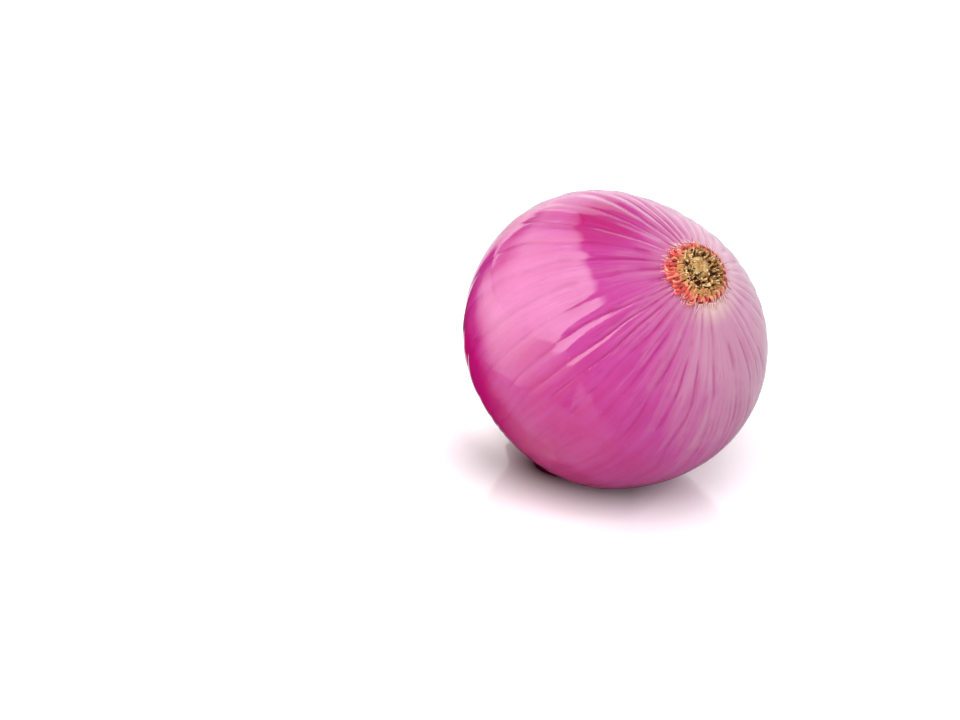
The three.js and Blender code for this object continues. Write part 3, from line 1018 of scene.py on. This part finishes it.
class SHALLOT_OT_stage(bpy.types.Operator):
    """Make the floor, the lights, the surroundings and the camera"""

    bl_idname = "shallot.stage"
    bl_label = "Stage"

    def execute(self, context):
        scene = context.scene
        look = scene.shallot_stage
        self.make_floor(scene, look)
        self.make_surroundings(scene, look)
        self.make_lights(scene)
        self.make_camera(scene, look)
        scene.view_settings.view_transform = "Standard"
        return {"FINISHED"}

    @staticmethod
    def make_floor(scene, look):
        """A round sheet of white acrylic."""
        corners = 96
        points = [(0, 0, 0)]
        faces = []
        for i, ring in enumerate((60, 200, 600, FLOOR_RADIUS)):
            turn = np.linspace(0, 2 * np.pi, corners, endpoint=False)
            points += (polar(ring, turn, 0) * MM).tolist()
            for j in range(corners):
                here, after = 1 + i * corners + j, 1 + i * corners + (j + 1) % corners
                inner = (0,) if i == 0 else (after - corners, here - corners)
                faces.append((*inner, here, after))
        mesh = bpy.data.meshes.new("floor")
        mesh.from_pydata(points, [], faces)
        mesh.materials.append(white_acrylic(look))
        floor = bpy.data.objects.new("floor", mesh)
        scene.collection.objects.link(floor)

    @staticmethod
    def make_surroundings(scene, look):
        """An even white room."""
        world = bpy.data.worlds.new("white room")
        world.use_nodes = True
        background = world.node_tree.nodes["Background"]
        background.inputs["Color"].default_value = (1, 1, 1, 1)
        background.inputs["Strength"].default_value = look.world
        scene.world = world

    @staticmethod
    def add_light(scene, name, away, distance, size, radiance, seen_by):
        """An area light that faces the bulb, seen only by diffuse or only by glossy surfaces."""
        width, height = size
        data = bpy.data.lights.new(name, "AREA")
        data.shape = "RECTANGLE"
        data.size, data.size_y = width, height
        data.energy = radiance * math.pi * width * height
        lamp = bpy.data.objects.new(name, data)
        scene.collection.objects.link(lamp)
        away = Vector(away).normalized()
        lamp.location = Vector(MIDDLE * MM) + distance * away
        lamp.rotation_mode = "QUATERNION"
        lamp.rotation_quaternion = (-away).to_track_quat("-Z", "Y")
        lamp.visible_camera = False
        lamp.visible_diffuse = seen_by == "diffuse"
        lamp.visible_glossy = seen_by == "glossy"

    @staticmethod
    def add_sheet(scene, name, points, material, key, values):
        """A sheet over a grid of points, in mm, with a value at each; only gloss shows it."""
        rows, columns = points.shape[:2]
        faces = []
        for i in range(rows - 1):
            for j in range(i * columns, (i + 1) * columns - 1):
                faces.append((j, j + 1, j + columns + 1, j + columns))
        mesh = bpy.data.meshes.new(name)
        mesh.from_pydata((points.reshape(-1, 3) * MM).tolist(), [], faces)
        attribute = mesh.attributes.new(key, "FLOAT", "POINT")
        attribute.data.foreach_set("value", np.broadcast_to(values, (rows, columns)).ravel())
        mesh.materials.append(material)
        sheet = bpy.data.objects.new(name, mesh)
        scene.collection.objects.link(sheet)
        sheet.visible_camera = False
        sheet.visible_diffuse = False
        sheet.visible_shadow = False

    def add_soft_box(self, scene):
        """A long soft box at the left, 0.4 m away, which shows as the long reflection."""
        away = np.array([-0.679, -0.679, 0.28])
        right = np.array([0.639, -0.734, -0.231])
        away /= np.linalg.norm(away)
        right -= (right @ away) * away
        right /= np.linalg.norm(right)
        across = np.linspace(-4.4, 0.88, 50)[None, :, None]
        up = np.linspace(-0.6, 1.75, 40)[:, None, None]
        points = MIDDLE + SOFT_BOX_AWAY * (away + across * right + up * np.cross(away, right))
        # It is brightest at the right, and dims to the left, at its foot and at its top
        side = 0.24 + 0.76 * np.clip((across + 1.75) / 1.75, 0, 1)
        low = 0.7 * (1 - np.clip((across + 1) / 0.8, 0, 1)) * (1 - np.clip((up + 0.28) / 0.5, 0, 1))
        foot = 0.85 + 0.15 * np.clip((up + 0.34) / 0.4, 0, 1)
        ends = (1 - low) * foot * np.clip((1.75 - up) / 0.4, 0, 1)
        self.add_sheet(scene, "soft_box", points, glowing_white("soft box cloth"),
                       "glow", (7.6 * side * ends)[..., 0])

    def add_lit_floor(self, scene):
        """A glowing sheet just over the floor in front of the soft box, seen only in gloss: a
        painted reflection of that floor, which the soft box lights far more than the rest.
        """
        bearing = np.linspace(-142, -34, 55)[None]
        reach = np.linspace(45, 380, 60)[:, None]
        angle = np.radians(bearing)
        outward = np.sin(angle)[..., None] * VIEW_RIGHT + np.cos(angle)[..., None] * VIEW_DEPTH
        points = MIDDLE + reach[..., None] * outward
        points[..., 2] = 0.3
        # It fades towards the bulb and towards both sides
        below = np.degrees(np.arctan(MIDDLE[2] / reach))
        glow = 7.2 * np.clip(1 - below / 34, 0.1, 1)
        glow = glow * np.clip((-40 - bearing) / 45, 0, 1) * np.clip((bearing + 150) / 45, 0, 1)
        self.add_sheet(scene, "lit_floor", points, glowing_white("floor lit by the soft box"),
                       "glow", glow)

    def add_dark_sheet(self, scene):
        """A dark sheet lying at the left and bent up, seen only in gloss: a painted dark reflection
        that keeps the white room off that side.
        """
        back = np.linspace(-15, 45, 31)[:, None]
        share = np.linspace(0, 1, 31)[None]
        near = 10 + 0.7 * np.maximum(back, 0)
        side = near + share * (50 - near)
        points = back[..., None] * VIEW_DEPTH - side[..., None] * VIEW_RIGHT + MIDDLE
        points[..., 2] = 0.5 + 22 * np.clip((side - 24) / 22, 0, 1) ** 1.5
        # It thins out at every edge
        cover = smoothstep(back, -10, 8) * (1 - smoothstep(back, 30, 45))
        cover = cover * smoothstep(share, 0, 0.15) * (1 - smoothstep(share, 0.6, 0.95))
        self.add_sheet(scene, "dark_sheet", points, painted_dark_reflection(linear(DARK_REFLECTION_COLOUR)),
                       "cover", cover)

    def make_lights(self, scene):
        """The plain lights, and the sheets that the glossy skin reflects: the soft box, a painted
        reflection of a lit floor and a painted dark reflection on the left.
        """
        for light in LIGHTS:
            self.add_light(scene, *light)
        self.add_soft_box(scene)
        self.add_lit_floor(scene)
        self.add_dark_sheet(scene)

    @staticmethod
    def make_camera(scene, look):
        """The photograph's viewpoint, set from the bulb's middle."""
        back = Vector((math.sin(look.round) * math.cos(look.rise),
                       -math.cos(look.round) * math.cos(look.rise), math.sin(look.rise)))
        right = Vector((math.cos(look.round), math.sin(look.round), 0))
        up = back.cross(right)
        aim = Vector(MIDDLE * MM) - CAMERA_LEFT * MM * right - CAMERA_DOWN * MM * up
        data = bpy.data.cameras.new("camera")
        data.lens = look.lens / MM
        data.sensor_width = SENSOR_WIDTH
        data.clip_start, data.clip_end = 0.01, 10
        camera = bpy.data.objects.new("camera", data)
        scene.collection.objects.link(camera)
        camera.location = aim + CAMERA_AWAY * MM * back
        camera.rotation_mode = "QUATERNION"
        camera.rotation_quaternion = (-back).to_track_quat("-Z", "Y")
        scene.camera = camera


class SHALLOT_PT_sidebar(bpy.types.Panel):
    """Sizes, colours and steps of the shallot"""

    bl_label = "Shallot"
    bl_idname = "SHALLOT_PT_sidebar"
    bl_space_type = "VIEW_3D"
    bl_region_type = "UI"
    bl_category = "Shallot"

    def draw(self, context):
        for step in STEPS:
            self.layout.operator(step.bl_idname)
        for name, group in LOOKS.items():
            box = self.layout.box()
            for key in group.__annotations__:
                box.prop(getattr(context.scene, name), key)


LOOKS = {
    "shallot_skin": SkinLook,
    "shallot_root": RootLook,
    "shallot_fringe": FringeLook,
    "shallot_neck": NeckLook,
    "shallot_stage": StageLook,
}
STEPS = (
    SHALLOT_OT_stage,
    SHALLOT_OT_skin,
    SHALLOT_OT_root_plate,
    SHALLOT_OT_cut_roots,
    SHALLOT_OT_fringe,
    SHALLOT_OT_neck,
)


def register():
    """Registers the classes and puts the looks on the scene."""
    for name, group in LOOKS.items():
        bpy.utils.register_class(group)
        setattr(bpy.types.Scene, name, bpy.props.PointerProperty(type=group))
    for step in STEPS:
        bpy.utils.register_class(step)
    bpy.utils.register_class(SHALLOT_PT_sidebar)


def unregister():
    """Takes the looks off the scene and the classes out again."""
    bpy.utils.unregister_class(SHALLOT_PT_sidebar)
    for step in reversed(STEPS):
        bpy.utils.unregister_class(step)
    for name, group in LOOKS.items():
        delattr(bpy.types.Scene, name)
        bpy.utils.unregister_class(group)


def main():
    """Builds every piece in order."""
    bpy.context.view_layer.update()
    register()
    for step in STEPS:
        group, name = step.bl_idname.split(".")
        getattr(getattr(bpy.ops, group), name)()
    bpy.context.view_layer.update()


if __name__ == "__main__":
    main()
